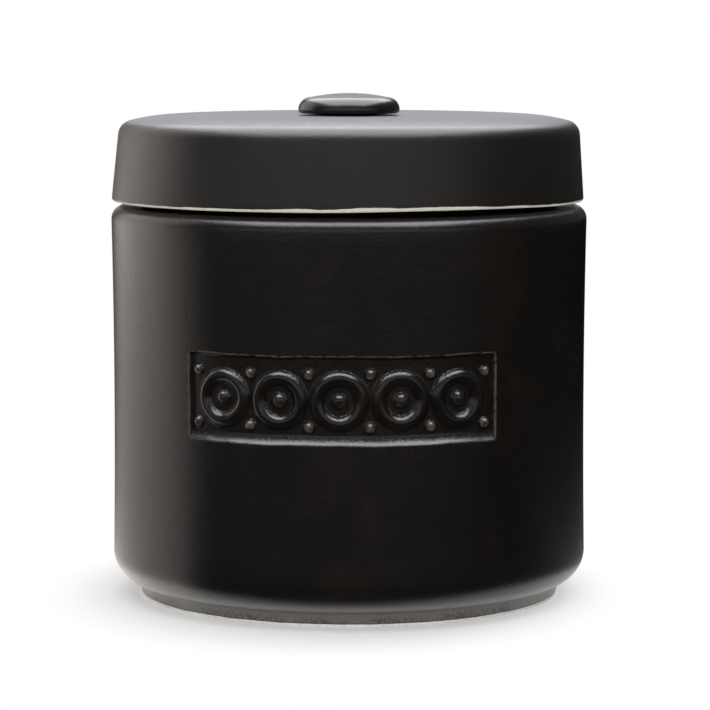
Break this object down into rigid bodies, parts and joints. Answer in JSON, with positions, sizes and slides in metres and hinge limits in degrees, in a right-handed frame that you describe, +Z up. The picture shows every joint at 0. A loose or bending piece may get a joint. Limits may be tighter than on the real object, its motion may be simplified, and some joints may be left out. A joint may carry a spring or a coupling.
{
  "type": "bacon grease container",
  "caption": "Round glazed stoneware grease jar with a cap lid, button knob and lift-out wire mesh strainer.",
  "frame": {"origin": "centre of the jar's foot ring, on the surface that it stands on", "axes": "+Z up along the axis of the jar and lid; the sunken front panel faces -Y; +X to the right of somebody who looks at the panel"},
  "size_m": [0.12, 0.12, 0.1265],
  "materials": {
    "jar_glaze": "satin black glaze over pale stoneware, bare clay on the foot",
    "lid_glaze": "satin black glaze over pale stoneware, bare clay on the skirt's edge",
    "knob_glaze": "satin black glaze",
    "rim_steel": "pressed stainless sheet, finely brushed round the rim",
    "wire_steel": "drawn stainless wire",
    "mesh_steel": "woven stainless wire mesh",
    "clamp_steel": "rolled stainless strip"
  },
  "bodies": {
    "jar": {"jar": "jar_glaze"},
    "strainer": {"strainer_rim": "rim_steel", "strainer_rim_wire": "wire_steel", "strainer_mesh": "mesh_steel", "strainer_clamp_ring": "clamp_steel"},
    "lid": {"lid": "lid_glaze", "lid_knob": "knob_glaze"}
  },
  "joints": [
    {"name": "strainer_lift", "type": "slide", "parent": "jar", "child": "strainer", "axis": [0, 0, 1], "range_m": [0, 0.045]},
    {"name": "lid_lift", "type": "slide", "parent": "strainer", "child": "lid", "axis": [0, 0, 1], "range_m": [0, 0.04]}
  ]
}
